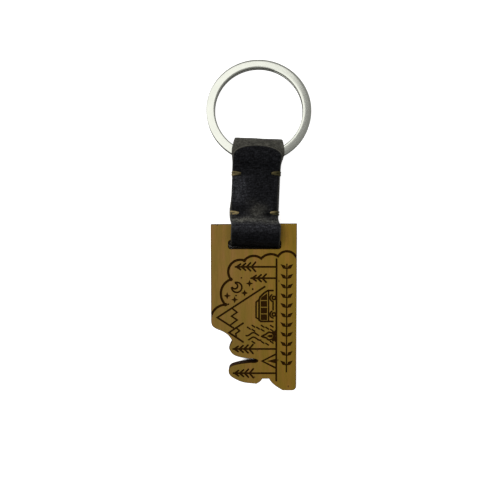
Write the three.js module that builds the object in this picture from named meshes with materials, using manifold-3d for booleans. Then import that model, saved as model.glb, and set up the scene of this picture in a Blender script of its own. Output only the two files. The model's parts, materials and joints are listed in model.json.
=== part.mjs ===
// Keychain: a flat split ring and a laser-cut wooden tag, held together by one folded strip of
// leather that four edge stitches keep shut. It lies flat on its back on a table.
// Millimetres. X is across, +Y points from the tag to the ring, +Z is up. The origin is at the
// middle of the footprint, on the table.
import * as THREE from 'three';
import { mergeVertices } from 'three/addons/utils/BufferGeometryUtils.js';
import Module from 'manifold-3d';

const wasm = await Module();
wasm.setup();

// ---------- driving dimensions ----------
const ringOuterRadius = 15;
const ringBand = 2.5;
const wireThickness = 0.8;
const wireGap = 0.1;

const leather = 1.2;
const layerGap = 0.1;
const strapWidth = 13.6;
const tagLoopWidth = 13.8;
const ringLoopWidth = 14.7;
// Both loops sit a little to the right of the strap's own middle.
const tagLoopShift = 0.54;
const ringLoopShift = 0.26;
const strapLean = THREE.MathUtils.degToRad(2.4);
const tagLoopInner = 3.05;
const ringLoopInner = 2.65;

const tagWidth = 24.2;
const tagThickness = 3;
const barHeight = 4.6;
// The tag's top edge rises a little to the right.
const topSlant = 0.1;
const slotWidth = 14.8;
const slotShift = 0.24;
const slotHeight = 2.45;
const slotCorner = 0.7;

const threadWidth = 1.5;
const threadThickness = 0.7;
const threadClearance = 0.25;

// ---------- heights and places that follow from them ----------
const layerPitch = leather + layerGap;
// The tag hangs on its bar inside the lower loop of the strap, which rests on the table.
const barZ = tagLoopInner + leather;
const frontZ = barZ + layerPitch;
const backZ = barZ - layerPitch;
// The ring runs through the upper loop, which rests on the table too.
const ringLoopZ = ringLoopInner + leather;
const foldCentreY = 22.65;
// The ring swings about the middle of the stretch of band that is inside the loop.
const bandMiddle = ringOuterRadius - 2.4;
const ringHingeY = 22.28;
const flapEndY = 23.85;
const flapRound = 2.9;
const stitchRows = [{ name: 'upper', y: 16.3 }, { name: 'lower', y: 5.2 }];
const stitchInset = 2.6;
// The rows are sewn a little askew: the right stitch sits higher than the left one.
const stitchSlant = 0.22;

// ---------- helpers ----------
// Closed solid through a row of sections with equal numbers of corners, listed counter-clockwise
// as seen looking along the row. An open row is capped; a closed one joins its last to its first.
function loft(sections, closed = false) {
  const corners = sections[0].length;
  const spans = closed ? sections.length : sections.length - 1;
  const index = [];
  for (let i = 0; i < spans; i += 1) {
    const here = i * corners;
    const next = ((i + 1) % sections.length) * corners;
    for (let j = 0; j < corners; j += 1) {
      const k = (j + 1) % corners;
      index.push(here + j, next + k, here + k);
      index.push(here + j, next + j, next + k);
    }
  }
  if (!closed) {
    const last = (sections.length - 1) * corners;
    for (let j = 1; j < corners - 1; j += 1) {
      index.push(0, j, j + 1);
      index.push(last, last + j + 1, last + j);
    }
  }
  const geometry = new THREE.BufferGeometry();
  const positions = sections.flat().flatMap((corner) => corner.toArray());
  geometry.setAttribute('position', new THREE.Float32BufferAttribute(positions, 3));
  geometry.setIndex(index);
  return geometry;
}

function toSolid(geometry) {
  const bare = geometry.clone();
  bare.deleteAttribute('normal');
  bare.deleteAttribute('uv');
  const merged = mergeVertices(bare, 1e-4);
  return new wasm.Manifold(new wasm.Mesh({
    numProp: 3,
    vertProperties: new Float32Array(merged.attributes.position.array),
    triVerts: new Uint32Array(merged.index.array),
  }));
}

function toGeometry(solid) {
  const mesh = solid.getMesh();
  const geometry = new THREE.BufferGeometry();
  geometry.setAttribute('position', new THREE.BufferAttribute(mesh.vertProperties, 3));
  geometry.setIndex(new THREE.BufferAttribute(mesh.triVerts, 1));
  return geometry;
}

function part(name, geometry, material) {
  const mesh = new THREE.Mesh(geometry, material);
  mesh.name = name;
  return mesh;
}

// How far a flat piece tips down until the end of its reach touches the table.
function restTilt(pivotHeight, reach, halfThickness) {
  const corner = Math.hypot(reach, halfThickness);
  return Math.asin(pivotHeight / corner) - Math.atan2(halfThickness, reach);
}

// ---------- split ring ----------
// Two flat turns of one wire. The wire climbs from the lower turn to the upper one on a short
// ramp, and its two ends stop on either side of that ramp, which lies inside the strap's loop.
function splitRing() {
  const rampAngle = THREE.MathUtils.degToRad(16);
  const turnAngle = 2 * Math.PI - rampAngle;
  const startAngle = -Math.PI / 2 + rampAngle / 2;
  const turnSteps = 58;
  const rampSteps = 4;
  const climb = (wireThickness + wireGap) / 2;
  const angles = [];
  for (let i = 0; i <= turnSteps; i += 1) angles.push((turnAngle * i) / turnSteps);
  for (let i = 1; i < rampSteps; i += 1) angles.push(turnAngle + (rampAngle * i) / rampSteps);
  for (let i = 0; i <= turnSteps; i += 1) angles.push(2 * Math.PI + (turnAngle * i) / turnSteps);
  const sections = angles.map((along) => {
    const rise = THREE.MathUtils.smoothstep(along, turnAngle, 2 * Math.PI);
    const z = climb * (2 * rise - 1);
    const corner = (radius, height) => new THREE.Vector3(
      radius * Math.cos(startAngle + along),
      radius * Math.sin(startAngle + along),
      z + height,
    );
    const inner = ringOuterRadius - ringBand;
    const half = wireThickness / 2;
    return [
      corner(inner, -half),
      corner(ringOuterRadius, -half),
      corner(ringOuterRadius, half),
      corner(inner, half),
    ];
  });
  return loft(sections);
}

// ---------- leather strap ----------
const flapEnd = { width: strapWidth, shift: 0.2 };

// The strip's middle line, seen from the side as (y, z), in runs that each end at a given width
// and sideways shift.
// It starts at the rounded flap on top of the ring's loop, comes down the front, goes round the
// tag's bar, back along the back, round the ring and down between front and back to its end.
function strapRuns() {
  const straight = (...points) => new THREE.LineCurve(...points.map((p) => new THREE.Vector2(...p)));
  const bend = (...points) => new THREE.CubicBezierCurve(...points.map((p) => new THREE.Vector2(...p)));
  const loopRadius = tagLoopInner + leather / 2;
  const foldRadius = ringLoopInner + leather / 2;
  const flapZ = ringLoopZ + foldRadius + layerPitch;
  const foldY = 21.5;
  const closeY = 16.9;
  const openY = 6.4;
  const endY = 4;
  const ease = 2.1;
  const leave = THREE.MathUtils.degToRad(60);
  // Where the bar's loop parts from the circle, and the pull of the bend there.
  const touch = { y: loopRadius * Math.cos(leave), z: loopRadius * Math.sin(leave) };
  const pull = { y: touch.y + 1.6 * Math.sin(leave), z: touch.z - 1.6 * Math.cos(leave) };
  const circle = new THREE.EllipseCurve(
    0, barZ, loopRadius, loopRadius, leave, 2 * Math.PI - leave, false, 0);
  const fold = new THREE.EllipseCurve(
    foldCentreY, ringLoopZ, foldRadius, foldRadius, -Math.PI / 2, Math.PI / 2, false, 0);
  const foldTop = ringLoopZ + foldRadius;
  const foldBottom = ringLoopZ - foldRadius;
  const flat = { width: strapWidth, shift: 0 };
  // Above the tag's loop the front is drawn in a little, and the back shows on its left.
  const frontOpen = { width: strapWidth - 0.3, shift: -0.12 };
  const backOpen = { width: strapWidth, shift: -0.4 };
  const atTag = { width: tagLoopWidth, shift: tagLoopShift };
  const atRing = { width: ringLoopWidth, shift: ringLoopShift };
  return [
    { curve: straight([flapEndY - flapRound, flapZ], [foldY, flapZ]), steps: 1, ...flapEnd },
    {
      curve: bend([foldY, flapZ], [foldY - ease, flapZ], [closeY + ease, frontZ], [closeY, frontZ]),
      steps: 8,
      ...flat,
    },
    { curve: straight([closeY, frontZ], [openY, frontZ]), steps: 6, ...frontOpen },
    {
      curve: bend([openY, frontZ], [openY - 1.6, frontZ], [pull.y, barZ + pull.z],
        [touch.y, barZ + touch.z]),
      steps: 7,
      ...atTag,
    },
    { curve: circle, steps: 22, ...atTag },
    {
      curve: bend([touch.y, barZ - touch.z], [pull.y, barZ - pull.z], [openY - 1.6, backZ],
        [openY, backZ]),
      steps: 7,
      ...backOpen,
    },
    { curve: straight([openY, backZ], [closeY, backZ]), steps: 6, ...flat },
    {
      curve: bend([closeY, backZ], [closeY + ease, backZ], [foldY - ease, foldBottom],
        [foldY, foldBottom]),
      steps: 8,
      ...atRing,
    },
    { curve: straight([foldY, foldBottom], [foldCentreY, foldBottom]), steps: 1, ...atRing },
    { curve: fold, steps: 16, ...atRing, waist: 1.1 },
    { curve: straight([foldCentreY, foldTop], [foldY, foldTop]), steps: 1, ...atRing },
    {
      curve: bend([foldY, foldTop], [foldY - ease, foldTop], [closeY + ease, barZ], [closeY, barZ]),
      steps: 8,
      ...flat,
    },
    { curve: straight([closeY, barZ], [endY, barZ]), steps: 6, ...flat },
  ];
}

// One cross-section of the strip: square to its middle line, as wide and as far across as told.
function strapSection(point, tangent, width, shift) {
  const normal = new THREE.Vector2(-tangent.y, tangent.x).multiplyScalar(leather / 2);
  const corner = (x, side) => new THREE.Vector3(
    shift + x, point.x + side * normal.x, point.y + side * normal.y);
  const half = width / 2;
  return [corner(-half, -1), corner(half, -1), corner(half, 1), corner(-half, 1)];
}

function strapStrip() {
  const sections = [];
  const runs = strapRuns();
  const first = runs[0].curve;
  const roundSteps = 8;
  for (let i = 1; i < roundSteps; i += 1) {
    const angle = (Math.PI / 2) * (i / roundSteps);
    const back = first.getPoint(0).add(new THREE.Vector2(flapRound * Math.cos(angle), 0));
    sections.push(
      strapSection(back, first.getTangent(0), strapWidth * Math.sin(angle), flapEnd.shift));
  }
  sections.push(strapSection(first.getPoint(0), first.getTangent(0), strapWidth, flapEnd.shift));
  let before = flapEnd;
  for (const run of runs) {
    for (let i = 1; i <= run.steps; i += 1) {
      const t = i / run.steps;
      const narrowing = (run.waist ?? 0) * Math.sin(Math.PI * t);
      // The strip widens late on its way into a loop, and narrows early on its way out.
      const share = run.width > before.width ? t ** 3 : 1 - (1 - t) ** 3;
      const width = THREE.MathUtils.lerp(before.width, run.width, share) - narrowing;
      const shift = THREE.MathUtils.lerp(before.shift, run.shift, share);
      sections.push(strapSection(run.curve.getPoint(t), run.curve.getTangent(t), width, shift));
    }
    before = run;
  }
  return loft(sections);
}

// ---------- stitches ----------
// A thread that goes through a hole and round the strap's edge, as a flat closed band, seen along
// Y as a rounded rectangle. Growing it by the clearance gives the hole and groove it sits in.
function stitchLoop(side, row, grow) {
  const y = row + side * stitchSlant;
  const halfStack = layerPitch + leather / 2 + 0.1;
  const inX = strapWidth / 2 - stitchInset;
  const outX = strapWidth / 2 - 0.15;
  const corner = 0.6;
  const cornerSteps = 3;
  const centres = [
    [outX - corner, halfStack - corner],
    [inX + corner, halfStack - corner],
    [inX + corner, corner - halfStack],
    [outX - corner, corner - halfStack],
  ];
  const octagon = [-7, -5, -3, -1, 1, 3, 5, 7].map((eighth) => [
    Math.cos((Math.PI / 8) * eighth),
    Math.sin((Math.PI / 8) * eighth),
  ]);
  const sections = [];
  centres.forEach(([x, z], quarter) => {
    for (let i = 0; i <= cornerSteps; i += 1) {
      const angle = (Math.PI / 2) * (quarter + i / cornerSteps);
      const out = new THREE.Vector2(Math.cos(angle), Math.sin(angle));
      const thick = threadThickness / 2 + grow;
      const wide = threadWidth / 2 + grow;
      sections.push(octagon.map(([across, away]) => new THREE.Vector3(
        side * (x + out.x * (corner + away * thick)),
        y + side * across * wide,
        barZ + z + out.y * (corner + away * thick),
      )));
    }
  });
  return loft(sections, true);
}

function leatherStrap() {
  let solid = toSolid(strapStrip());
  for (const { y } of stitchRows) {
    for (const side of [-1, 1]) solid = solid.subtract(toSolid(stitchLoop(side, y, threadClearance)));
  }
  return toGeometry(solid);
}

// ---------- wooden tag ----------
// Outline about the middle of the bar that the strap goes round, with Y down the tag below zero.
// The lower left follows a skyline on its side: a slope and two round treetops with a cleft.
function tagOutline() {
  const left = -tagWidth / 2;
  const right = tagWidth / 2;
  const top = barHeight / 2;
  const bottom = -45.2;
  const corner = 1.2;
  const point = ([x, y]) => new THREE.Vector2(x, y);
  const shape = new THREE.Shape();
  shape.moveTo(left, top - topSlant);
  shape.lineTo(left, -25.4);
  shape.splineThru([[-11.8, -26.5], [-10.7, -27.4], [-8.8, -28.2], [-7.2, -29.3], [-6.1, -30.9]].map(point));
  shape.splineThru([[-6.7, -32], [-7, -33.1], [-6, -34.7], [-4.2, -35.5], [-1.4, -36]].map(point));
  shape.splineThru([[0.4, -36.1], [1.2, -36.6], [0.5, -37.1], [-1.1, -37.1]].map(point));
  shape.splineThru([[-4.2, -37.5], [-6.5, -38.2], [-7.2, -39.6], [-6.4, -41.2], [-3.2, -42.8], [0.7, -43.3]]
    .map(point));
  shape.quadraticCurveTo(1.9, -42.9, 2.4, -41.8);
  shape.lineTo(4.4, -41.8);
  shape.bezierCurveTo(4.9, -43.2, 6.7, -44.3, 8.3, bottom);
  shape.lineTo(right - corner, bottom);
  shape.absarc(right - corner, bottom + corner, corner, -Math.PI / 2, 0, false);
  shape.lineTo(right, top + topSlant);
  shape.closePath();
  return shape;
}

function slotOutline() {
  const halfWidth = slotWidth / 2;
  const top = -barHeight / 2;
  const bottom = top - slotHeight;
  const hole = new THREE.Path();
  const left = slotShift - halfWidth + slotCorner;
  const right = slotShift + halfWidth - slotCorner;
  hole.absarc(right, top - slotCorner, slotCorner, 0, Math.PI / 2, false);
  hole.absarc(left, top - slotCorner, slotCorner, Math.PI / 2, Math.PI, false);
  hole.absarc(left, bottom + slotCorner, slotCorner, Math.PI, 1.5 * Math.PI, false);
  hole.absarc(right, bottom + slotCorner, slotCorner, 1.5 * Math.PI, 2 * Math.PI, false);
  hole.closePath();
  return hole;
}

function woodenTag() {
  const shape = tagOutline();
  shape.holes.push(slotOutline());
  const geometry = new THREE.ExtrudeGeometry(shape, {
    depth: tagThickness,
    bevelEnabled: false,
    curveSegments: 4,
  });
  return geometry.translate(0, 0, -tagThickness / 2);
}

// ---------- materials ----------
const steel = new THREE.MeshStandardMaterial({ color: 0xc9c8bd, roughness: 0.35, metalness: 1 });
const hide = new THREE.MeshStandardMaterial({ color: 0x17181b, roughness: 0.55, metalness: 0 });
const wood = new THREE.MeshStandardMaterial({ color: 0x83682f, roughness: 0.6, metalness: 0 });
const linen = new THREE.MeshStandardMaterial({ color: 0x8c7850, roughness: 0.85, metalness: 0 });

// ---------- assembly ----------
// Strap and ring lean a little to one side about the bar; tag and ring tip down to the table.
const group = new THREE.Group();

const tagGroup = new THREE.Group();
tagGroup.position.z = barZ;
tagGroup.rotation.x = restTilt(barZ, 45.2, tagThickness / 2);
tagGroup.add(part('wooden_tag', woodenTag(), wood));

const ringGroup = new THREE.Group();
ringGroup.position.set(0, ringHingeY, ringLoopZ);
ringGroup.rotation.x = -restTilt(ringLoopZ, ringOuterRadius + bandMiddle, wireThickness + wireGap / 2);
const ring = part('split_ring', splitRing(), steel);
ring.position.y = bandMiddle;
ringGroup.add(ring);

const strapGroup = new THREE.Group();
strapGroup.rotation.z = -strapLean;
strapGroup.add(part('leather_strap', leatherStrap(), hide));
for (const { name, y } of stitchRows) {
  strapGroup.add(part(`stitch_${name}_left`, stitchLoop(-1, y, 0), linen));
  strapGroup.add(part(`stitch_${name}_right`, stitchLoop(1, y, 0), linen));
}
strapGroup.add(ringGroup);

const keychain = new THREE.Group();
keychain.add(tagGroup, strapGroup);
group.add(keychain);

// Bring the middle of the footprint to the origin and the lowest point to the table.
group.updateMatrixWorld(true);
const box = new THREE.Box3().setFromObject(group, true);
keychain.position.set(-(box.min.x + box.max.x) / 2, -(box.min.y + box.max.y) / 2, -box.min.z);

export default group;
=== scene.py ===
import json
import math

import bmesh
import bpy
from mathutils import Matrix, Vector, noise


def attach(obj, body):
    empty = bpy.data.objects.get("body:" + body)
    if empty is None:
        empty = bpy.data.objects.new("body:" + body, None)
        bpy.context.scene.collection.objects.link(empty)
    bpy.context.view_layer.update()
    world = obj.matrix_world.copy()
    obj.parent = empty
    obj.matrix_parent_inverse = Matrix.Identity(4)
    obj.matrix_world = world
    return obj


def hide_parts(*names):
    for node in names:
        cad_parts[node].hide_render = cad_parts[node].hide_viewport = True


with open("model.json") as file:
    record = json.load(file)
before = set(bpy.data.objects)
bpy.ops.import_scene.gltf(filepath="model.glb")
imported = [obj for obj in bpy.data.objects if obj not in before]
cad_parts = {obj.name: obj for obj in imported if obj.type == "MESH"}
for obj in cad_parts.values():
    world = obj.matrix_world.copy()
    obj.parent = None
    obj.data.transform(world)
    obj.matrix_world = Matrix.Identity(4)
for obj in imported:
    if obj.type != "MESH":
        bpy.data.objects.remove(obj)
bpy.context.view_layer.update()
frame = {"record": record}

# Everything is worked out in millimetres in each piece's own frame, then placed in metres.
MM = 0.001

# ---------- driving dimensions, as on the CAD model ----------
RING_RADIUS = 15.0
RING_BAND = 2.5
WIRE = 0.8
WIRE_GAP = 0.1
LEATHER = 1.2
LAYER_GAP = 0.1
STRAP_WIDTH = 13.6
TAG_LOOP_WIDTH, TAG_LOOP_SHIFT = 13.8, 0.54
RING_LOOP_WIDTH, RING_LOOP_SHIFT = 14.7, 0.26
FLAP_SHIFT = 0.2
TAG_LOOP = 3.05
RING_LOOP = 2.65
FOLD_Y = 22.65
FLAP_END_Y = 23.85
FLAP_ROUND = 2.9
BAND_MIDDLE = RING_RADIUS - 2.4
RING_HINGE_Y = 22.28
TAG_WIDTH = 24.2
TAG_THICK = 3.0
TAG_BOTTOM = -45.2
BAR_HEIGHT = 4.6
TOP_SLANT = 0.1
SLOT_WIDTH = 14.8
SLOT_SHIFT = 0.24
SLOT_HEIGHT = 2.45
SLOT_CORNER = 0.7
STITCH_ROWS = {"upper": 16.3, "lower": 5.2}
STITCH_INSET = 2.6
STITCH_SLANT = 0.22

PITCH = LEATHER + LAYER_GAP
BAR_Z = TAG_LOOP + LEATHER
FRONT_Z = BAR_Z + PITCH
BACK_Z = BAR_Z - PITCH
RING_LOOP_Z = RING_LOOP + LEATHER


# ---------- where the three bodies lie, from the frame's joints ----------
def joint(name):
    return next(j for j in frame["record"]["behaviour"]["joints"] if j["name"] == name)


def rest_tilt(height, reach, half_thickness):
    """How far a flat piece tips down until its far end touches the table."""
    return math.asin(height / math.hypot(reach, half_thickness)) - math.atan2(half_thickness, reach)


BAR = Vector(joint("tag_swing")["pos_m"]) / MM
ACROSS = Vector(joint("ring_swing")["axis"])
LEAN = math.atan2(ACROSS.y, ACROSS.x)
STRAP_FRAME = Matrix.Translation((BAR.x, BAR.y, 0)) @ Matrix.Rotation(LEAN, 4, "Z")
TAG_FRAME = Matrix.Translation(BAR) @ Matrix.Rotation(rest_tilt(BAR_Z, -TAG_BOTTOM, TAG_THICK / 2), 4, "X")
RING_TILT = rest_tilt(RING_LOOP_Z, RING_RADIUS + BAND_MIDDLE, WIRE + WIRE_GAP / 2)
RING_FRAME = (STRAP_FRAME @ Matrix.Translation((0, RING_HINGE_Y, RING_LOOP_Z))
              @ Matrix.Rotation(-RING_TILT, 4, "X") @ Matrix.Translation((0, BAND_MIDDLE, 0)))


# ---------- mesh helpers ----------
def make_mesh(name, verts, faces, place):
    """A mesh in metres from vertices in millimetres in a piece's own frame."""
    mesh = bpy.data.meshes.new(name)
    mesh.from_pydata([(place @ Vector(v)) * MM for v in verts], [], faces)
    mesh.update()
    return mesh


def make_object(name, mesh, materials):
    for material in materials:
        mesh.materials.append(material)
    obj = bpy.data.objects.new(name, mesh)
    bpy.context.scene.collection.objects.link(obj)
    return obj


def loft(sections, closed=False, capped=True):
    """Vertices and quads through sections that run counter-clockwise as seen along the row."""
    count = len(sections[0])
    verts = [corner for section in sections for corner in section]
    faces = []
    spans = len(sections) if closed else len(sections) - 1
    for i in range(spans):
        here = i * count
        there = (i + 1) % len(sections) * count
        for j in range(count):
            k = (j + 1) % count
            faces.append((here + j, there + j, there + k, here + k))
    if capped and not closed:
        last = (len(sections) - 1) * count
        faces.append(tuple(range(count)))
        faces.append(tuple(last + j for j in reversed(range(count))))
    return verts, faces


def weld(mesh, distance=0.002):
    """Merges vertices within a distance in millimetres, and drops what this leaves without a volume."""
    work = bmesh.new()
    work.from_mesh(mesh)
    bmesh.ops.remove_doubles(work, verts=work.verts, dist=distance * MM)
    bmesh.ops.dissolve_degenerate(work, edges=work.edges, dist=distance * MM)
    bmesh.ops.triangulate(work, faces=work.faces)
    by_corners = {}
    for face in work.faces:
        by_corners.setdefault(frozenset(face.verts), []).append(face)
    doubled = [face for faces in by_corners.values() if len(faces) > 1 for face in faces]
    bmesh.ops.delete(work, geom=doubled, context="FACES")
    work.to_mesh(mesh)
    work.free()


def smooth(mesh):
    """Shades every face smoothly."""
    mesh.polygons.foreach_set("use_smooth", [True] * len(mesh.polygons))


def smoothstep(value, low, high):
    t = min(1.0, max(0.0, (value - low) / (high - low)))
    return t * t * (3 - 2 * t)


def bell(value, middle, spread):
    return math.exp(-((value - middle) / spread) ** 2)


# ---------- curve helpers: each gives (point, tangent) at t from 0 to 1 ----------
def line(start, end):
    a, b = Vector(start), Vector(end)
    return lambda t: (a.lerp(b, t), (b - a).normalized())


def bend(*points):
    a, b, c, d = (Vector(p) for p in points)

    def at(t):
        u = 1 - t
        point = a * u ** 3 + b * (3 * u * u * t) + c * (3 * u * t * t) + d * t ** 3
        slope = (b - a) * (u * u) + (c - b) * (2 * u * t) + (d - c) * (t * t)
        return point, slope.normalized()
    return at


def arc(centre, radius, start, end):
    middle = Vector(centre)

    def at(t):
        angle = start + (end - start) * t
        out = Vector((math.cos(angle), math.sin(angle)))
        turn = math.copysign(1, end - start)
        return middle + out * radius, Vector((-out.y, out.x)) * turn
    return at


def points_on(curve, steps):
    return [curve(i / steps)[0] for i in range(1, steps + 1)]


def spline(points, steps=6):
    """Uniform Catmull-Rom curve through the points, without its first point."""
    p = [Vector(q) for q in points]
    p = [p[0] * 2 - p[1], *p, p[-1] * 2 - p[-2]]
    out = []
    for a, b, c, d in zip(p, p[1:], p[2:], p[3:]):
        for i in range(1, steps + 1):
            t = i / steps
            out.append(0.5 * (2 * b + (c - a) * t + (2 * a - 5 * b + 4 * c - d) * t * t
                              + (3 * b - a - 3 * c + d) * t ** 3))
    return out


# ---------- material helpers ----------
def new_material(name):
    material = bpy.data.materials.new(name)
    material.use_nodes = True
    return material, material.node_tree, material.node_tree.nodes["Principled BSDF"]


def add(tree, kind, inputs=None, **settings):
    """A node with its settings; inputs are values, or outputs of other nodes to link."""
    node = tree.nodes.new(kind)
    for key, value in settings.items():
        setattr(node, key, value)
    for key, value in (inputs or {}).items():
        if isinstance(value, bpy.types.NodeSocket):
            tree.links.new(value, node.inputs[key])
        else:
            node.inputs[key].default_value = value
    return node


def millimetres(tree, stretch=(1, 1, 1)):
    """The piece's own coordinates in millimetres, scaled per axis."""
    coordinates = add(tree, "ShaderNodeTexCoord")
    inputs = {"Vector": coordinates.outputs["Object"], "Scale": [s / MM for s in stretch]}
    return add(tree, "ShaderNodeMapping", inputs).outputs[0]


def noise_value(tree, vector, scale, detail=3.0, roughness=0.5):
    inputs = {"Vector": vector, "Scale": scale, "Detail": detail, "Roughness": roughness}
    return add(tree, "ShaderNodeTexNoise", inputs).outputs["Fac"]


def ramp(tree, value, *stops):
    node = add(tree, "ShaderNodeValToRGB", {"Fac": value})
    elements = node.color_ramp.elements
    while len(elements) < len(stops):
        elements.new(0.5)
    for element, (position, colour) in zip(elements, stops):
        element.position = position
        element.color = (*colour, 1)
    return node.outputs["Color"]


def span(tree, value, low, high, to_low=0.0, to_high=1.0):
    inputs = {"Value": value, "From Min": low, "From Max": high, "To Min": to_low, "To Max": to_high}
    return add(tree, "ShaderNodeMapRange", inputs).outputs[0]


def calc(tree, operation, a, b):
    return add(tree, "ShaderNodeMath", {0: a, 1: b}, operation=operation).outputs[0]


def mix(tree, factor, a, b, blend="MIX"):
    node = add(tree, "ShaderNodeMix", data_type="RGBA", blend_type=blend)
    for socket, value in ((node.inputs[0], factor), (node.inputs[6], a), (node.inputs[7], b)):
        if isinstance(value, bpy.types.NodeSocket):
            tree.links.new(value, socket)
        else:
            socket.default_value = value if isinstance(value, float) else (*value, 1)
    return node.outputs[2]


def bump(tree, shader, *layers):
    """Chains bump layers of (height, depth in millimetres) onto the shader's normal."""
    normal = None
    for height, depth in layers:
        inputs = {"Height": height, "Distance": depth * MM, "Strength": 1.0}
        if normal is not None:
            inputs["Normal"] = normal
        normal = add(tree, "ShaderNodeBump", inputs).outputs[0]
    tree.links.new(normal, shader.inputs["Normal"])


# ---------- materials ----------
def steel_material():
    """Satin nickel: fine brushing along the wire, faint clouding, and side walls painted dark and dull as
    painted shade, for the dark surroundings they reflect.
    """
    material, tree, shader = new_material("satin_nickel")
    wall_shade = add(tree, "ShaderNodeAttribute", attribute_name="wall_shade").outputs["Fac"]
    run = add(tree, "ShaderNodeAttribute", attribute_name="wire_run").outputs["Vector"]
    brushed = add(tree, "ShaderNodeMapping", {"Vector": run, "Scale": (0.6, 9.0, 9.0)}).outputs[0]
    lines = noise_value(tree, brushed, 1.0, 4.0, 0.7)
    cloud = noise_value(tree, millimetres(tree), 0.35, 3.0)
    colour = ramp(tree, cloud, (0.3, (0.40, 0.408, 0.362)), (0.7, (0.425, 0.432, 0.386)))
    # Painted shade: the side walls are made near black and not metallic, in place of the dark reflections
    # they show.
    colour = mix(tree, wall_shade, colour, (0.004, 0.004, 0.003))
    tree.links.new(colour, shader.inputs["Base Color"])
    tree.links.new(span(tree, wall_shade, 0.0, 1.0, 1.0, 0.0), shader.inputs["Metallic"])
    shader.inputs["Specular IOR Level"].default_value = 0.0
    tree.links.new(span(tree, lines, 0.3, 0.7, 0.12, 0.16), shader.inputs["Roughness"])
    bump(tree, shader, (lines, 0.0025))
    return material


def leather_material():
    """Smooth black hide with a painted grey sheen, rubbed brown-grey where it is creased or cut, and
    brown-grey on its folds from wear and a painted highlight.
    """
    material, tree, shader = new_material("black_leather")
    wear_and_fold_highlight, painted_sheen, crease, edge = (add(tree, "ShaderNodeAttribute", attribute_name=name).outputs["Fac"]
                                 for name in ("wear_and_fold_highlight", "painted_sheen", "crease", "edge"))
    position = millimetres(tree)
    pores = add(tree, "ShaderNodeTexVoronoi", {"Vector": position, "Scale": 2.6}).outputs["Distance"]
    mottle = noise_value(tree, position, 0.8, 5.0, 0.65)
    across = noise_value(tree, millimetres(tree, (0.25, 2.2, 1.5)), 1.0, 3.0, 0.6)
    folds = noise_value(tree, millimetres(tree, (0.8, 2.5, 1.8)), 1.0, 2.0, 0.6)
    colour = ramp(tree, mottle, (0.3, (0.0023, 0.0025, 0.0031)), (0.75, (0.0050, 0.0050, 0.0058)))
    specks = noise_value(tree, position, 2.0, 2.0, 0.7)
    speckle = calc(tree, "MULTIPLY", span(tree, mottle, 0.35, 0.65, 0.75, 1.05),
                   span(tree, specks, 0.38, 0.6, 0.6, 1.3))
    # Painted sheen: a grey reflection mixed into the hide's colour where the sheen amount says.
    colour = mix(tree, calc(tree, "MULTIPLY", painted_sheen, speckle), colour, (0.031, 0.0316, 0.036))
    # Rubbed brown-grey: real wear, and on the folds also a painted highlight.
    rubbed = ramp(tree, specks, (0.3, (0.060, 0.058, 0.047)), (0.7, (0.092, 0.089, 0.075)))
    colour = mix(tree, calc(tree, "MULTIPLY", wear_and_fold_highlight, span(tree, mottle, 0.25, 0.6, 0.3, 1.0)), colour, rubbed)
    colour = mix(tree, calc(tree, "MULTIPLY", crease, span(tree, specks, 0.3, 0.6, 0.35, 0.9)), colour,
                 (0.14, 0.137, 0.115))
    grain = calc(tree, "MULTIPLY", span(tree, pores, 0.1, 0.7, 1.5, 0.5),
                 span(tree, folds, 0.35, 0.65, 0.45, 1.65))
    pebbled = mix(tree, 1.0, colour, grain, "MULTIPLY")
    colour = mix(tree, span(tree, wear_and_fold_highlight, 0.3, 1.0, 1.0, 0.3), colour, pebbled)
    colour = mix(tree, edge, colour, (0.105, 0.10, 0.08))
    tree.links.new(colour, shader.inputs["Base Color"])
    shader.inputs["Specular IOR Level"].default_value = 0.03
    tree.links.new(span(tree, wear_and_fold_highlight, 0.0, 0.8, 0.42, 0.68), shader.inputs["Roughness"])
    wrinkle = calc(tree, "MULTIPLY", across, calc(tree, "ADD", wear_and_fold_highlight, 0.1))
    bump(tree, shader, (pores, 0.10), (wrinkle, 0.2), (mottle, 0.12))
    return material


def thread_material():
    """Waxed linen thread, dirty in its valleys, and darker by the amount listed for each stitch."""
    material, tree, shader = new_material("linen_thread")
    position = millimetres(tree)
    fibres = noise_value(tree, position, 9.0, 4.0, 0.7)
    dirt = noise_value(tree, position, 1.1, 2.0)
    thread_darkness = add(tree, "ShaderNodeAttribute", attribute_name="thread_darkness").outputs["Fac"]
    tan = ramp(tree, fibres, (0.3, (0.17, 0.128, 0.055)), (0.7, (0.38, 0.30, 0.15)))
    colour = mix(tree, span(tree, dirt, 0.45, 0.7, 0.0, 0.5), tan, (0.07, 0.06, 0.025))
    colour = mix(tree, thread_darkness, colour, (0.022, 0.020, 0.006))
    tree.links.new(colour, shader.inputs["Base Color"])
    shader.inputs["Roughness"].default_value = 0.75
    shader.inputs["Specular IOR Level"].default_value = 0.1
    bump(tree, shader, (fibres, 0.06))
    return material


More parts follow.
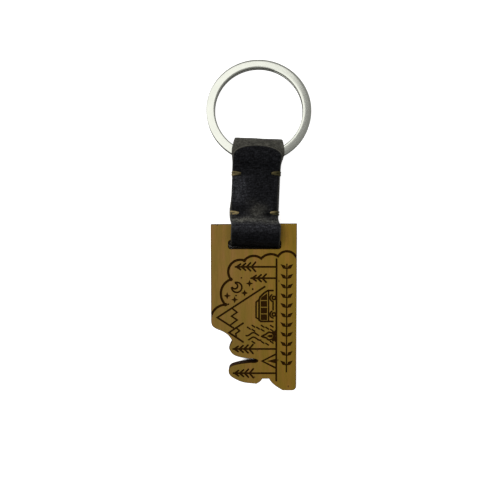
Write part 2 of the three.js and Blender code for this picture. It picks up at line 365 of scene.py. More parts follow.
def wood_colour(tree):
    """Olive-brown bamboo: streaks, fine fibres and clouds, yellower to the right and darker at its end."""
    streaks = noise_value(tree, millimetres(tree, (0.55, 0.035, 0.4)), 1.0, 4.0, 0.6)
    clouds = noise_value(tree, millimetres(tree, (0.5, 0.25, 0.4)), 1.0, 3.0, 0.6)
    fibres = noise_value(tree, millimetres(tree, (5.0, 0.16, 4.0)), 1.0, 3.0, 0.6)
    colour = ramp(tree, streaks, (0.3, (0.184, 0.124, 0.018)), (0.5, (0.226, 0.136, 0.022)),
                  (0.7, (0.270, 0.143, 0.034)))
    colour = mix(tree, span(tree, clouds, 0.35, 0.7, 0.0, 0.5), colour, (0.195, 0.140, 0.013))
    colour = mix(tree, 0.3, colour, ramp(tree, fibres, (0.3, (0.5, 0.47, 0.40)), (0.7, (1.0, 1.0, 1.0))),
                 "MULTIPLY")
    place = add(tree, "ShaderNodeSeparateXYZ", {0: millimetres(tree)}).outputs
    side = span(tree, place["X"], -8.0, 9.0)
    colour = mix(tree, 1.0, colour, mix(tree, side, (1.05, 1.01, 1.35), (1.09, 1.03, 0.73)), "MULTIPLY")
    colour = mix(tree, 1.0, colour, span(tree, place["Y"], -45.0, -12.0, 0.88, 1.0), "MULTIPLY")
    return colour, streaks, fibres


def wood_material():
    """The bare bamboo, with a few small dark flecks."""
    material, tree, shader = new_material("bamboo")
    colour, streaks, fibres = wood_colour(tree)
    spots = add(tree, "ShaderNodeTexVoronoi", {"Vector": millimetres(tree, (0.36, 0.22, 0.2)), "Scale": 1.0})
    fleck = span(tree, spots.outputs["Distance"], 0.05, 0.09, 0.7, 0.0)
    colour = mix(tree, fleck, colour, (0.03, 0.016, 0.004))
    tree.links.new(colour, shader.inputs["Base Color"])
    tree.links.new(span(tree, streaks, 0.3, 0.7, 0.42, 0.55), shader.inputs["Roughness"])
    shader.inputs["Specular IOR Level"].default_value = 0.06
    bump(tree, shader, (fibres, 0.03))
    return material


def scorched_material():
    """Wood browned by the laser beside a cut."""
    material, tree, shader = new_material("scorched_bamboo")
    colour, _, fibres = wood_colour(tree)
    colour = mix(tree, 0.6, colour, (0.025, 0.009, 0.001))
    tree.links.new(colour, shader.inputs["Base Color"])
    shader.inputs["Roughness"].default_value = 0.6
    shader.inputs["Specular IOR Level"].default_value = 0.04
    bump(tree, shader, (fibres, 0.03))
    return material


def char_material():
    """Burnt wood in the grooves and on the cut walls, with the ridges that the beam leaves."""
    material, tree, shader = new_material("charred_bamboo")
    soot = noise_value(tree, millimetres(tree), 2.5, 4.0, 0.7)
    ridges = noise_value(tree, millimetres(tree, (3.5, 3.5, 0.15)), 1.0, 2.0)
    colour = ramp(tree, soot, (0.3, (0.014, 0.0050, 0.0005)), (0.75, (0.036, 0.0145, 0.0018)))
    tree.links.new(colour, shader.inputs["Base Color"])
    shader.inputs["Roughness"].default_value = 0.8
    shader.inputs["Specular IOR Level"].default_value = 0.02
    bump(tree, shader, (ridges, 0.06), (soot, 0.04))
    return material


STEEL = steel_material()
HIDE = leather_material()
LINEN = thread_material()
WOOD = wood_material()
SCORCHED = scorched_material()
CHAR = char_material()


# ---------- split ring ----------
def wire_section(steps=40):
    """The wire's section, a superellipse: faint crowns on its faces and well-rounded edges."""
    roundness = 0.42
    points = []
    for i in range(steps):
        angle = 2 * math.pi * (i + 0.5) / steps
        x, z = math.cos(angle), math.sin(angle)
        x = math.copysign(abs(x) ** roundness, x)
        z = math.copysign(abs(z) ** roundness, z)
        points.append((x * RING_BAND / 2, z * WIRE / 2))
    return points


def add_values(mesh, name, values):
    """Stores one number for each vertex, for the material to read."""
    mesh.attributes.new(name, "FLOAT", "POINT").data.foreach_set("value", values)


def split_ring():
    """Two turns of one flat wire; a short ramp inside the strap's loop joins them."""
    ramp_angle = math.radians(16)
    turn = 2 * math.pi - ramp_angle
    start = -math.pi / 2 + ramp_angle / 2
    climb = (WIRE + WIRE_GAP) / 2
    middle = RING_RADIUS - RING_BAND / 2
    face_end, wall_start = 0.955, 0.99
    steps = 300
    section = wire_section()
    sections, wall_shades, runs = [], [], []
    for i in range(steps + 1):
        along = (turn + 2 * math.pi) * i / steps
        lift = climb * (2 * smoothstep(along, turn, 2 * math.pi) - 1)
        out = Vector((math.cos(start + along), math.sin(start + along), 0))
        sections.append([out * (middle + x) + Vector((0, 0, lift + z)) for x, z in section])
        # How far each point is into the side wall, where the wire is painted dark as painted shade.
        wall_shades += [smoothstep(abs(x) / (RING_BAND / 2), face_end, wall_start) for x, z in section]
        runs += [value for x, z in section for value in (along * middle, x, z)]
    verts, faces = loft(sections)
    mesh = make_mesh("key_ring", verts, faces, RING_FRAME)
    smooth(mesh)
    add_values(mesh, "wall_shade", wall_shades)
    mesh.attributes.new("wire_run", "FLOAT_VECTOR", "POINT").data.foreach_set("vector", runs)
    ring = make_object("key_ring", mesh, [STEEL])
    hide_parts("split_ring")
    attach(ring, "ring")


# ---------- leather strap ----------
def strap_runs():
    """The strip's middle line in (y, z), in runs of (curve, width and shift at its end, waist)."""
    loop = TAG_LOOP + LEATHER / 2
    fold = RING_LOOP + LEATHER / 2
    top, bottom = RING_LOOP_Z + fold, RING_LOOP_Z - fold
    flap = top + PITCH
    fold_y, close_y, open_y, end_y, ease = 21.5, 16.9, 6.4, 4.0, 2.1
    leave = math.radians(60)
    touch = Vector((math.cos(leave), math.sin(leave))) * loop
    handle = 1.6
    pull = touch + Vector((math.sin(leave), -math.cos(leave))) * handle
    up = Vector((0, BAR_Z))
    down = Vector((1, -1))
    flat = (STRAP_WIDTH, 0)
    front_open = (STRAP_WIDTH - 0.3, -0.12)
    back_open = (STRAP_WIDTH, -0.4)
    at_tag = (TAG_LOOP_WIDTH, TAG_LOOP_SHIFT)
    at_ring = (RING_LOOP_WIDTH, RING_LOOP_SHIFT)
    return [
        (line((FLAP_END_Y, flap), (fold_y, flap)), (STRAP_WIDTH, FLAP_SHIFT), 0),
        (bend((fold_y, flap), (fold_y - ease, flap), (close_y + ease, FRONT_Z), (close_y, FRONT_Z)), flat, 0),
        (line((close_y, FRONT_Z), (open_y, FRONT_Z)), front_open, 0.1),
        (bend((open_y, FRONT_Z), (open_y - handle, FRONT_Z), up + pull, up + touch), at_tag, 0),
        (arc(up, loop, leave, 2 * math.pi - leave), at_tag, 0),
        (bend(up + touch * down, up + pull * down, (open_y - handle, BACK_Z), (open_y, BACK_Z)),
         back_open, 0),
        (line((open_y, BACK_Z), (close_y, BACK_Z)), flat, 0.1),
        (bend((close_y, BACK_Z), (close_y + ease, BACK_Z), (fold_y - ease, bottom), (fold_y, bottom)),
         at_ring, 0),
        (line((fold_y, bottom), (FOLD_Y, bottom)), at_ring, 0),
        (arc((FOLD_Y, RING_LOOP_Z), fold, -math.pi / 2, math.pi / 2), at_ring, 1.1),
        (line((FOLD_Y, top), (fold_y, top)), at_ring, 0),
        (bend((fold_y, top), (fold_y - ease, top), (close_y + ease, BAR_Z), (close_y, BAR_Z)), flat, 0),
        (line((close_y, BAR_Z), (end_y, BAR_Z)), flat, 0),
    ]


def strap_stations(spacing=0.25):
    """Evenly spaced stations down the strip: (middle, tangent, half width, shift, run number)."""
    stations = []
    pieces = 60
    before = (STRAP_WIDTH, FLAP_SHIFT)
    for number, (curve, (width, shift), waist) in enumerate(strap_runs()):
        samples = [curve(i / pieces)[0] for i in range(pieces + 1)]
        length = sum((b - a).length for a, b in zip(samples, samples[1:]))
        steps = max(2, round(length / spacing))
        for i in range(0 if number == 0 else 1, steps + 1):
            t = i / steps
            middle, tangent = curve(t)
            # The strip widens late on its way into a loop, and narrows early on its way out.
            share = t ** 3 if width > before[0] else 1 - (1 - t) ** 3
            wide = before[0] + (width - before[0]) * share - waist * math.sin(math.pi * t)
            stations.append((middle, tangent, wide / 2, before[1] + (shift - before[1]) * share, number))
        before = (width, shift)
    return stations


def stitch_relief(x, y):
    """How deep the thread draws the outer face in, near its hole and under its turns."""
    depth = 0
    hole = STRAP_WIDTH / 2 - STITCH_INSET
    for row in STITCH_ROWS.values():
        level = row + math.copysign(STITCH_SLANT, x)
        near = bell(y, level, 0.45) * bell(abs(x), hole, 0.4)
        under = bell(y, level, 0.75) * smoothstep(abs(x), hole - 0.5, hole + 0.3)
        around = bell(y, level, 2.0) * smoothstep(abs(x), hole - 2.5, hole + 1.5)
        depth += 0.4 * near + 0.22 * under + 0.12 * around
    return depth


# Where the top layer lifts off the stack to go over the tag's bar, it is creased across.
CREASE_Y = 2.75


def crease_line(x, y):
    """The crease across the front, plain at the left and broken up towards the right."""
    bow = CREASE_Y + 0.25 - 0.012 * x * x + 0.35 * noise.noise(Vector((x * 0.6, 3.1, 0)))
    broken = 0.55 + 0.7 * noise.noise(Vector((x * 0.9, y * 0.9, 5.2)))
    strength = bell(x, -3.6, 2.8) + 0.45 * broken * smoothstep(x, -2.0, 1.0)
    return bell(y, bow, 0.48) * strength * smoothstep(6.9 - abs(x), 0, 0.8)


def front_wear(x, y):
    """The rubbed patch between the lower stitches, fading into the crease below it."""
    ragged = noise.noise(Vector((x * 0.55, y * 0.55, 7.7)))
    patch = bell(x, 0.9, 2.6 + ragged) * bell(y, 5.4, 2.1 + ragged)
    return 0.72 * patch + 0.35 * bell(y, CREASE_Y, 1.1)


def front_painted_sheen(x, y):
    """The painted grey sheen on the front, a window's reflection: down its left side and over the top of the
    tag's loop.
    """
    left = bell(x, -4.6, 2.4) * smoothstep(y, 6.5, 9.5) * smoothstep(16.5 - y, 0, 1.5)
    middle = 0.18 * smoothstep(y, 3.0, 5.0)
    loop = bell(y, 2.0, 1.8) * (0.95 + 0.3 * bell(x, -2.5, 3.0))
    return min(1.2, 0.8 * left + middle + loop)


def stitch_hole_shade(x, y):
    """Painted shade beside the stitch holes, where the hide is drawn in: there it is kept black, without its
    sheen, wear or crease.
    """
    hole = STRAP_WIDTH / 2 - STITCH_INSET - 0.3
    hole_shade = 0
    for name, row in STITCH_ROWS.items():
        strength = 0.95 if name == "lower" and x > 0 else 0.65
        hole_shade = max(hole_shade, strength * bell(y, row - 0.2, 1.2) * bell(abs(x), hole, 1.3))
    return hole_shade


def leather_strap():
    """One strip swept along its runs, with rolled edges, and with what its material reads at each vertex."""
    edge_radius = 0.4
    across_steps = 44
    last_run = len(strap_runs()) - 1
    front_runs, back_runs = (0, 1, 2, 3), (5, 6, 7)
    bar_run, fold_runs, shoulder_runs = 4, (8, 9, 10), (7, 11)
    far_from_end = 9.0
    lump_scale, lump_height = 0.35, 0.05
    across = [math.sin(math.pi / 2 * (2 * i / across_steps - 1)) for i in range(across_steps + 1)]
    stations = strap_stations()
    end_y = stations[-1][0].x
    sections = []
    marks = {"wear_and_fold_highlight": [], "painted_sheen": [], "crease": [], "edge": []}
    for middle, tangent, half, shift, run in stations:
        y, z = middle
        inward = Vector((-tangent.y, tangent.x))
        flap_depth = FLAP_END_Y - y if run == 0 else FLAP_ROUND
        # The strap's outline: a half ellipse at the flap, a square cut at its other end.
        if flap_depth < FLAP_ROUND:
            back = 1 - max(flap_depth, 0.01) / FLAP_ROUND
            half *= math.sqrt(1 - back * back)
        tail = y - end_y if run == last_run else far_from_end
        on_front = run in front_runs or (run == bar_run and z > BAR_Z)
        # Cut edges are a lighter brown; the flap's rim and the back layers, which lie in shade, get more of
        # it as painted light.
        cut_edge_and_painted_light = 0.7 if run == 0 else 1.0 if run in back_runs else 0.25
        outer, inner = [], []
        values = {name: [] for name in marks}
        for a in across:
            x = a * half
            to_edge = min(half - abs(x), tail)
            if flap_depth < FLAP_ROUND:
                back = 1 - flap_depth / FLAP_ROUND
                reach = math.hypot(x / (STRAP_WIDTH / 2), back)
                slope = math.hypot(x / (STRAP_WIDTH / 2) ** 2, back / FLAP_ROUND) / max(reach, 0.01)
                to_edge = max(0, 1 - reach) / slope
            roll = 1 - min(1, to_edge / edge_radius)
            thick = LEATHER / 2 * math.sqrt(max(0, 1 - roll * roll)) ** 0.8
            lump = noise.noise(Vector((x * lump_scale, y * lump_scale, z * lump_scale))) * lump_height
            draw = stitch_relief(x, y) if run in front_runs + back_runs else 0
            # Painted shade around the stitch holes takes away the sheen, wear and crease there.
            outside_hole_shade = 1 - stitch_hole_shade(x, y)
            pressed = crease_line(x, y) * outside_hole_shade if run in front_runs else 0
            centre = Vector((shift + x, y, z))
            normal = Vector((0, inward.x, inward.y))
            drawn_in = 1 - 0.75 * draw - 0.12 * pressed
            outer.append(centre - normal * (thick * drawn_in + lump * min(1, to_edge)))
            inner.append(centre + normal * thick)
            # The folds take the rubbed colour both from wear and as a painted highlight on their curve.
            bent = 1.0 if run in fold_runs else 0.0
            shoulder = 0.8 * smoothstep(y, 19, 22) if run in shoulder_runs else 0.0
            rubbed = front_wear(x, y) * outside_hole_shade if run in front_runs else 0.0
            values["wear_and_fold_highlight"].append(max(bent, shoulder, rubbed))
            values["painted_sheen"].append(front_painted_sheen(x, y) * outside_hole_shade if on_front else 0.1)
            values["crease"].append(pressed)
            values["edge"].append(cut_edge_and_painted_light * (1 - smoothstep(to_edge, 0.1, 0.5)))
        sections.append(outer + inner[-2:0:-1])
        for name, row in values.items():
            marks[name] += row + row[-2:0:-1]
    verts, faces = loft(sections, capped=False)
    mesh = make_mesh("strap", verts, faces, STRAP_FRAME)
    for name, row in marks.items():
        add_values(mesh, name, row)
    weld(mesh)
    smooth(mesh)
    strap = make_object("strap", mesh, [HIDE])
    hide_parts("leather_strap")
    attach(strap, "strap")


# ---------- stitches ----------
def thread_turn(side, row, lean):
    """One turn of two-ply thread through its hole and round the strap's edge."""
    half_stack = PITCH + LEATHER / 2 + 0.06
    in_x = STRAP_WIDTH / 2 - STITCH_INSET + 0.25
    out_x = STRAP_WIDTH / 2 - 0.15
    corner = 0.6
    legs = [
        line((out_x, -half_stack + corner), (out_x, half_stack - corner)),
        arc((out_x - corner, half_stack - corner), corner, 0, math.pi / 2),
        line((out_x - corner, half_stack), (in_x + corner, half_stack)),
        arc((in_x + corner, half_stack - corner), corner, math.pi / 2, math.pi),
        line((in_x, half_stack - corner), (in_x, -half_stack + corner)),
        arc((in_x + corner, -half_stack + corner), corner, math.pi, 1.5 * math.pi),
        line((in_x + corner, -half_stack), (out_x - corner, -half_stack)),
        arc((out_x - corner, -half_stack + corner), corner, 1.5 * math.pi, 2 * math.pi),
    ]
    radius, twist_pitch, spacing = 0.32, 2.2, 0.11
    sides, valley, crown = 14, 0.76, 0.24
    sections = []
    travelled = 0
    for leg in legs:
        samples = [leg(i / 12)[0] for i in range(13)]
        length = sum((b - a).length for a, b in zip(samples, samples[1:]))
        steps = max(3, round(length / spacing))
        for i in range(steps):
            point, tangent = leg(i / steps)
            outwards = Vector((tangent.y, -tangent.x))
            spread = smoothstep(point.x, in_x - 0.2, out_x - 0.4)
            y = row + side * STITCH_SLANT + lean * (0.1 + 0.24 * spread)
            centre = Vector((side * point.x, y, BAR_Z + point.y))
            spin = 2 * math.pi * (travelled + length * i / steps) / twist_pitch
            section = []
            for k in range(sides):
                angle = 2 * math.pi * k / sides
                size = radius * (valley + crown * abs(math.cos(angle - spin)))
                a, b = size * math.cos(angle), size * math.sin(angle)
                section.append(centre + Vector((side * outwards.x * b, side * a, outwards.y * b)))
            sections.append(section)
        travelled += length
    return loft(sections, closed=True)


# How dark each stitch's lower and upper turn is made, at its hole and at the strap's edge.
THREAD_DARKNESS = {
    ("upper", "left"): ((0.9, 0.45), (0.55, 0.6)),
    ("upper", "right"): ((0.85, 0.96), (0.7, 0.95)),
    ("lower", "left"): ((0.4, 0.05), (0.0, 0.0)),
    ("lower", "right"): ((0.8, 0.99), (0.15, 0.92)),
}


def stitches():
    """Four stitches, each of two turns of thread side by side."""
    for row_name, row in STITCH_ROWS.items():
        for side_name, side in (("left", -1), ("right", 1)):
            verts, faces, thread_darkness = [], [], []
            for lean, (at_hole, at_edge) in zip((-1, 1), THREAD_DARKNESS[row_name, side_name]):
                more_verts, more_faces = thread_turn(side, row, lean)
                faces += [tuple(len(verts) + v for v in face) for face in more_faces]
                verts += more_verts
                reach = [smoothstep(abs(v.x), 4.6, 6.4) for v in more_verts]
                thread_darkness += [at_hole + (at_edge - at_hole) * r for r in reach]
            name = f"thread_{row_name}_{side_name}"
            mesh = make_mesh(name, verts, faces, STRAP_FRAME)
            smooth(mesh)
            add_values(mesh, "thread_darkness", thread_darkness)
            thread = make_object(name, mesh, [LINEN])
            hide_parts(f"stitch_{row_name}_{side_name}")
            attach(thread, "strap")


# ---------- wooden tag ----------
def tag_outline():
    """The tag's edge about the middle of its bar, counter-clockwise from the top left."""
    left, right, top = -TAG_WIDTH / 2, TAG_WIDTH / 2, BAR_HEIGHT / 2
    corner = 1.2
    edge = [Vector((left, top - TOP_SLANT)), Vector((left, -25.4))]
    for knots in (
        [(left, -25.4), (-11.8, -26.5), (-10.7, -27.4), (-8.8, -28.2), (-7.2, -29.3), (-6.1, -30.9)],
        [(-6.1, -30.9), (-6.7, -32), (-7, -33.1), (-6, -34.7), (-4.2, -35.5), (-1.4, -36)],
        [(-1.4, -36), (0.4, -36.1), (1.2, -36.6), (0.5, -37.1), (-1.1, -37.1)],
        [(-1.1, -37.1), (-4.2, -37.5), (-6.5, -38.2), (-7.2, -39.6), (-6.4, -41.2), (-3.2, -42.8),
         (0.7, -43.3)],
    ):
        edge += spline(knots)
    edge += points_on(bend((0.7, -43.3), (1.5, -43), (2.1, -42.5), (2.4, -41.8)), 5)
    edge.append(Vector((4.4, -41.8)))
    edge += points_on(bend((4.4, -41.8), (4.9, -43.2), (6.7, -44.3), (8.3, TAG_BOTTOM)), 8)
    edge.append(Vector((right - corner, TAG_BOTTOM)))
    edge += points_on(arc((right - corner, TAG_BOTTOM + corner), corner, -math.pi / 2, 0), 8)
    edge.append(Vector((right, top + TOP_SLANT)))
    return edge


def slot_outline():
    r = SLOT_CORNER
    left, right = SLOT_SHIFT - SLOT_WIDTH / 2 + r, SLOT_SHIFT + SLOT_WIDTH / 2 - r
    top = -BAR_HEIGHT / 2 - r
    low = -BAR_HEIGHT / 2 - SLOT_HEIGHT + r
    edge = []
    for quarter, (x, y) in enumerate(((right, top), (left, top), (left, low), (right, low))):
        start = quarter * math.pi / 2
        edge.append(Vector((x, y)) + r * Vector((math.cos(start), math.sin(start))))
        edge += points_on(arc((x, y), r, start, start + math.pi / 2), 5)
    return edge


def offset(edge, distance):
    """The closed edge moved to its left by a small distance, with mitred corners."""
    out = []
    for before, here, after in zip(edge[-1:] + edge[:-1], edge, edge[1:] + edge[:1]):
        a = (here - before).normalized()
        b = (after - here).normalized()
        na, nb = Vector((-a.y, a.x)), Vector((-b.y, b.x))
        out.append(here + (na + nb) * (distance / max(0.3, 1 + na.dot(nb))))
    return out


def stacked(edge, levels):
    """A closed solid from one edge at several (height, inset) levels, lowest first."""
    sections = []
    for height, inset in levels:
        sections.append([Vector((p.x, p.y, height)) for p in offset(edge, inset)])
    verts, faces = loft(sections)
    return verts, [tuple(reversed(face)) for face in faces]


# The tag's material numbers.
BARE, LIP, BURNT = 0, 1, 2


class Solids:
    """Collects closed solids, with a material number per face, into one cutter mesh."""

    def __init__(self):
        self.verts = []
        self.faces = []
        self.slots = []

    def take(self, verts, faces, slots):
        start = len(self.verts)
        self.verts += verts
        self.faces += [tuple(start + v for v in face) for face in faces]
        self.slots += slots

    def object(self, name):
        mesh = make_mesh(name, self.verts, self.faces, Matrix())
        mesh.polygons.foreach_set("material_index", self.slots)
        work = bmesh.new()
        work.from_mesh(mesh)
        bmesh.ops.recalc_face_normals(work, faces=work.faces)
        work.to_mesh(mesh)
        work.free()
        return make_object(name, mesh, [WOOD, SCORCHED, CHAR])


# A cutter stands out ABOVE the tag's face, and its scorched lip goes LIP_DEPTH down.
SURFACE = TAG_THICK / 2
GROOVE_DEPTH = 0.28
ABOVE = 0.1
LIP_DEPTH = 0.04


def groove(cutter, points, width=0.42, closed=False):
    """Cuts a line along the points: a scorched lip, steep charred walls and a flat floor."""
    flare = 0.16
    path = [Vector(p) for p in points]
    if not closed:
        tip = 0.45 * width
        path = [path[0] + (path[0] - path[1]).normalized() * tip, *path,
                path[-1] + (path[-1] - path[-2]).normalized() * tip]
    count = len(path)
    sections = []
    for i, here in enumerate(path):
        before = path[i - 1] if i or closed else here * 2 - path[1]
        after = path[(i + 1) % count] if i < count - 1 or closed else here * 2 - path[i - 1]
        a = (here - before).normalized()
        b = (after - here).normalized()
        na, nb = Vector((-a.y, a.x)), Vector((-b.y, b.x))
        side = (na + nb) / max(0.5, 1 + na.dot(nb))
        pinch = 0.5 if not closed and i in (0, count - 1) else 1.0
        half = width / 2 * pinch
        floor = half * 0.75
        levels = ((-half - flare, ABOVE), (-half, -LIP_DEPTH), (-floor, -GROOVE_DEPTH),
                  (floor, -GROOVE_DEPTH), (half, -LIP_DEPTH), (half + flare, ABOVE))
        sections.append([Vector((here.x + side.x * s, here.y + side.y * s, SURFACE + z))
                         for s, z in levels])
    verts, faces = loft(sections, closed)
    spans = count if closed else count - 1
    slots = [LIP, BURNT, BURNT, BURNT, LIP, LIP] * spans + ([] if closed else [BURNT, BURNT])
    cutter.take(verts, faces, slots)


def pocket(cutter, edge, depth=0.2):
    """Cuts out the area inside an edge."""
    edge = [Vector(p) for p in edge]
    if sum(a.x * b.y - b.x * a.y for a, b in zip(edge, edge[1:] + edge[:1])) < 0:
        edge.reverse()
    levels = ((SURFACE - depth, 0.06), (SURFACE - LIP_DEPTH, 0), (SURFACE + ABOVE, -0.12))
    verts, faces = stacked(edge, levels)
    sides = len(edge)
    cutter.take(verts, faces, [BURNT] * sides + [LIP] * sides + [BURNT, LIP])


def ellipse(centre, rx, ry, steps=12):
    cx, cy = centre
    return [(cx + rx * math.cos(2 * math.pi * i / steps), cy + ry * math.sin(2 * math.pi * i / steps))
            for i in range(steps)]


# The engraving is a plain camp scene on its side. Its ground line runs down the tag, and a point in
# it is (how far down from the bar's middle, how far up from the ground), in millimetres.
GROUND_X = 6.4


def scene_point(across, up):
    return Vector((GROUND_X - up, -across))


def draw(cutter, points, width=0.46, closed=False):
    groove(cutter, [scene_point(*p) for p in points], width, closed)


def fill(cutter, points):
    pocket(cutter, [scene_point(*p) for p in points])


def curl(points, steps=4):
    """A smooth run through given points, its first point included."""
    return [Vector(points[0]), *spline(points, steps)]


def cusp(puff, following):
    """Where two overlapping circles meet, on the side away from the scene."""
    (centre, radius), (other_centre, other_radius) = puff, following
    gap = other_centre - centre
    forward = gap.normalized()
    along = (radius ** 2 - other_radius ** 2 + gap.length_squared) / (2 * gap.length)
    aside = math.sqrt(radius ** 2 - along ** 2)
    return centre + forward * along + Vector((-forward.y, forward.x)) * aside


def cloud_line(cutter):
    """The scalloped cloud edge that parts the scene from the plain end of the tag."""
    puffs = [(Vector(centre), radius) for centre, radius in (
        ((8.3, -2.9), 2.9), ((9.7, 1.6), 3.5), ((10.0, 6.4), 3.3), ((11.2, 10.2), 3.4), ((17.4, 11.4), 4.3),
        ((24.9, 14.2), 4.4))]
    ends = [Vector((7.2, -5.6)), *(cusp(a, b) for a, b in zip(puffs, puffs[1:])), Vector((24.0, 18.5))]
    step = 0.7
    points = [ends[0]]
    for (centre, radius), start, end in zip(puffs, ends, ends[1:]):
        first = math.atan2(*(start - centre).yx)
        sweep = (first - math.atan2(*(end - centre).yx)) % (2 * math.pi)
        steps = math.ceil(sweep * radius / step)
        points += points_on(arc(centre, radius, first, first - sweep), steps)
    draw(cutter, points, 0.62)
    for hollow in ends[3:-1]:
        pocket(cutter, ellipse(scene_point(*hollow), 0.5, 0.5, 10))


def pine(cutter, across, height, tiers=4):
    """A trunk with pairs of boughs that sweep down from it near the top."""
    tier_gap = 1.4
    draw(cutter, [(across, 0.1), (across, height)])
    for tier in range(tiers):
        level = height - 0.35 - tier_gap * tier
        reach = 0.8 + 0.17 * tier
        for side in (-1, 1):
            draw(cutter, [(across, level), (across + side * reach / 2, level - 0.6),
                          (across + side * reach, level - 1.15)])


def mountains(cutter):
    """A tall peak with a smaller one in front of it, each with a jagged snow line."""
    draw(cutter, [(15.4, 3.3), (24.2, 16.7), (27.2, 12.1)])
    draw(cutter, [(25.8, 9.4), (28.5, 13.4), (31.2, 9.4)])
    draw(cutter, [(21.5, 12.6), (22.7, 11.1), (23.8, 12.7), (24.9, 11.1), (26.4, 13.1)], 0.4)
    draw(cutter, [(27.1, 11.4), (28.0, 10.4), (28.8, 11.5), (29.8, 11.3)], 0.4)


def crescent(centre, radius, steps=14):
    """The line round a crescent moon that opens up and away from the mountains."""
    opening = math.radians(125)

    def sweep(middle, size, reach):
        return [middle + size * Vector((math.cos(a), math.sin(a)))
                for a in (opening + math.pi - reach + 2 * reach * i / steps for i in range(steps + 1))]

    bite = Vector((math.cos(opening), math.sin(opening))) * 0.45 * radius
    return (sweep(centre, radius, math.radians(140))
            + sweep(centre + bite, 0.55 * radius, math.radians(-112)))


def night_sky(cutter):
    """A crescent moon, four pointed stars and some small round ones."""
    draw(cutter, crescent(Vector((15.6, 11.2)), 1.45), 0.42, closed=True)
    for across, up in ((18.0, 13.9), (19.1, 11.8), (17.2, 9.0), (14.5, 7.6)):
        fill(cutter, [(across + size * math.cos(angle), up + size * math.sin(angle))
                      for angle, size in ((math.pi / 4 * i, (0.95, 0.4)[i % 2]) for i in range(8))])
    for across, up, size in ((17.9, 11.4, 0.24), (20.4, 13.6, 0.26), (16.1, 6.7, 0.26), (12.9, 9.9, 0.22)):
        pocket(cutter, ellipse(scene_point(across, up), size, size, 8))


def camper(cutter):
    """A plain camper van with a raised roof, dark windows, a sloping screen and two wheels."""
    front, back, roof, floor = 16.5, 25.3, 4.9, 0.95
    draw(cutter, [(front, floor), (front, 2.4), (17.3, 3.6), (18.3, 4.6), (19.1, roof), (back - 0.4, roof),
                  (back, roof - 0.5), (back, floor)])
    draw(cutter, [(19.1, roof), (19.8, 5.75), (24.2, 5.75), (24.7, roof)], 0.4)
    draw(cutter, [(front + 0.3, 2.2), (back - 0.2, 2.2)], 0.36)
    fill(cutter, [(17.3, 2.65), (18.5, 4.3), (19.2, 4.4), (19.2, 2.65)])
    for left in (19.5, 21.4, 23.3):
        fill(cutter, [(left, 2.65), (left + 1.6, 2.65), (left + 1.6, 4.4), (left, 4.4)])
    for wheel in (18.6, 23.3):
        arch = arc((wheel, 0.75), 1.05, math.radians(170), math.radians(10))
        draw(cutter, points_on(arch, 8), 0.42)
        groove(cutter, ellipse(scene_point(wheel, 0.72), 0.48, 0.48), 0.42, closed=True)
    draw(cutter, [(19.9, floor), (22.0, floor)], 0.4)


def tent(cutter, middle, height=4.0, half=2.0):
    """A ridge tent seen from its end, with its dark door."""
    draw(cutter, [(middle - half, 0.1), (middle, height), (middle + half, 0.1)])
    fill(cutter, [(middle - 0.65, 0.1), (middle, height - 1.4), (middle + 0.65, 0.1)])


def campfire(cutter, middle):
    """A flame with a dark heart over crossed logs, and two wavy threads of smoke."""
    flame = [(-0.8, 1.0), (-1.1, 2.1), (-0.5, 3.0), (0.1, 4.1), (0.5, 2.9), (1.1, 2.1), (0.8, 1.0)]
    draw(cutter, curl([(middle + x, up) for x, up in flame]))
    fill(cutter, [(middle - 0.45, 1.1), (middle - 0.35, 2.0), (middle, 2.7), (middle + 0.4, 1.9),
                  (middle + 0.4, 1.1)])
    draw(cutter, [(middle - 1.4, 0.25), (middle + 1.3, 0.95)], 0.6)
    draw(cutter, [(middle - 1.3, 0.95), (middle + 1.4, 0.25)], 0.6)
    for start, low, high in ((-0.55, 5.0, 8.6), (0.75, 4.4, 7.9)):
        wave = [(middle + start + 0.45 * math.sin(1.7 * up), up)
                for up in (low + (high - low) * i / 16 for i in range(17))]
        draw(cutter, wave, 0.4)


def grass(cutter):
    """Slanting strokes in staggered rows over the meadow, clear of the fire and its smoke."""
    for row in range(6):
        up = 1.7 + 1.3 * row
        for column in range(6):
            across = 26.4 + 1.15 * column + 0.55 * (row % 2)
            if not 28.0 < across < 31.0 and across < 32.0 - 0.12 * up:
                draw(cutter, [(across, up), (across + 0.55, up - 0.8)], 0.38)


def leaf_border(cutter):
    """Under the ground line, where a motto could stand: a plain vine with paired leaves."""
    centre = -2.9
    draw(cutter, [(9.0, centre), (39.8, centre)], 0.32)
    for sprig in range(11):
        root = 10.4 + 2.75 * sprig
        for side in (-1, 1):
            fill(cutter, [(root, centre + side * 0.15), (root - 0.95, centre + side * 0.45),
                          (root - 1.35, centre + side * 1.75), (root - 0.15, centre + side * 1.1)])


def engraving():
    cutter = Solids()
    cloud_line(cutter)
    draw(cutter, [(7.6, 0), (42.4, 0)])
    for across, height, tiers in ((9.8, 11.6, 4), (13.0, 7.2, 3), (33.2, 12.3, 4), (40.2, 12.2, 4)):
        pine(cutter, across, height, tiers)
    mountains(cutter)
    night_sky(cutter)
    camper(cutter)
    campfire(cutter, 29.5)
    tent(cutter, 36.7)
    grass(cutter)
    leaf_border(cutter)
    return cutter.object("engraving_cutter")


def slot_cutter():
    """A prism through the tag, wider where it leaves either face."""
    slot = Solids()
    reach = TAG_THICK / 2
    levels = ((-reach - 0.2, -0.3), (-reach + 0.1, 0), (reach - 0.1, 0), (reach + 0.2, -0.3))
    verts, faces = stacked(slot_outline(), levels)
    sides = len(slot_outline())
    slot.take(verts, faces, [BURNT] * sides * 3 + [BURNT, BURNT])
    return slot.object("slot_cutter")


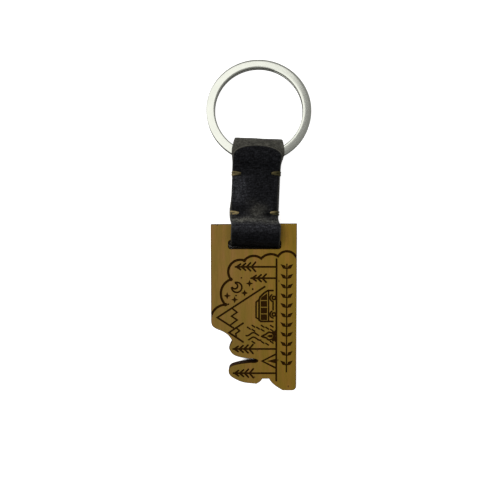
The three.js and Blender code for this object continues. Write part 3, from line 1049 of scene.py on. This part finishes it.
def cut(target, cutter):
    """Takes the cutter away from the target, and removes the cutter."""
    modifier = target.modifiers.new("cut", "BOOLEAN")
    modifier.object = cutter
    modifier.operation = "DIFFERENCE"
    modifier.solver = "EXACT"
    modifier.use_self = True
    modifier.material_mode = "INDEX"
    evaluated = target.evaluated_get(bpy.context.evaluated_depsgraph_get())
    mesh = bpy.data.meshes.new_from_object(evaluated)
    weld(mesh)
    target.modifiers.clear()
    target.data = mesh
    bpy.data.objects.remove(cutter)


def wooden_tag():
    """A prism with burnt walls, cut by its slot and its engraving."""
    body = Solids()
    reach = TAG_THICK / 2
    rim = 0.12
    levels = ((-reach, rim), (-reach + rim, 0), (reach - rim, 0), (reach, rim))
    edge = tag_outline()
    verts, faces = stacked(edge, levels)
    sides = len(edge)
    body.take(verts, faces, [BURNT] * sides * 3 + [BARE, BARE])
    tag = body.object("engraved_tag")
    cut(tag, slot_cutter())
    cut(tag, engraving())
    tag.data.transform(Matrix.Scale(MM, 4) @ TAG_FRAME @ Matrix.Scale(1 / MM, 4))
    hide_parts("wooden_tag")
    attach(tag, "tag")


# ---------- stage ----------
def stage():
    scene = bpy.context.scene
    scene.view_settings.view_transform = "Standard"
    reach = 0.6
    verts = [(-reach, -reach, 0), (reach, -reach, 0), (reach, reach, 0), (-reach, reach, 0)]
    mesh = bpy.data.meshes.new("floor")
    mesh.from_pydata(verts, [], [(0, 1, 2, 3)])
    # Backlit white paper. Its colour and glow are painted dark down in narrow gaps, where little of the sky
    # is open to it: painted shade.
    gap, clear = 0.21, 0.27
    paper, tree, shader = new_material("white_paper")
    sky = add(tree, "ShaderNodeAmbientOcclusion", {"Distance": 0.008}, samples=32).outputs["AO"]
    tree.links.new(mix(tree, span(tree, sky, gap, clear), (0.01, 0.01, 0.01), (0.9, 0.9, 0.9)),
                   shader.inputs["Base Color"])
    shader.inputs["Roughness"].default_value = 0.9
    shader.inputs["Emission Color"].default_value = (1, 1, 1, 1)
    tree.links.new(span(tree, sky, gap, clear, 0.0, 0.75), shader.inputs["Emission Strength"])
    make_object("floor", mesh, [paper])

    world = bpy.data.worlds.new("studio")
    world.use_nodes = True
    world.node_tree.nodes["Background"].inputs["Color"].default_value = (1, 1, 1, 1)
    world.node_tree.nodes["Background"].inputs["Strength"].default_value = 0.5
    scene.world = world

    # One wide overhead softbox, on the left and towards the ring.
    light = bpy.data.lights.new("softbox", "AREA")
    light.shape = "SQUARE"
    light.size = 1.2
    light.energy = 7.8
    softbox = bpy.data.objects.new("softbox", light)
    softbox.location = (-0.65, 0.3, 0.8)
    softbox.rotation_euler = (0, 0, math.radians(-24))
    scene.collection.objects.link(softbox)


def camera():
    """Looks straight down from above a point to the left of the tag's bar and below it."""
    height, left_of_bar, below_bar = 150.0, 1.07, 5.13
    lens = bpy.data.cameras.new("camera")
    lens.sensor_width = 36.0
    lens.lens = 37.1
    lens.clip_start = 0.01
    lens.clip_end = 10.0
    eye = bpy.data.objects.new("camera", lens)
    eye.location = Vector((BAR.x - left_of_bar, BAR.y - below_bar, height)) * MM
    bpy.context.scene.collection.objects.link(eye)
    bpy.context.scene.camera = eye


camera()
stage()
split_ring()
leather_strap()
stitches()
wooden_tag()
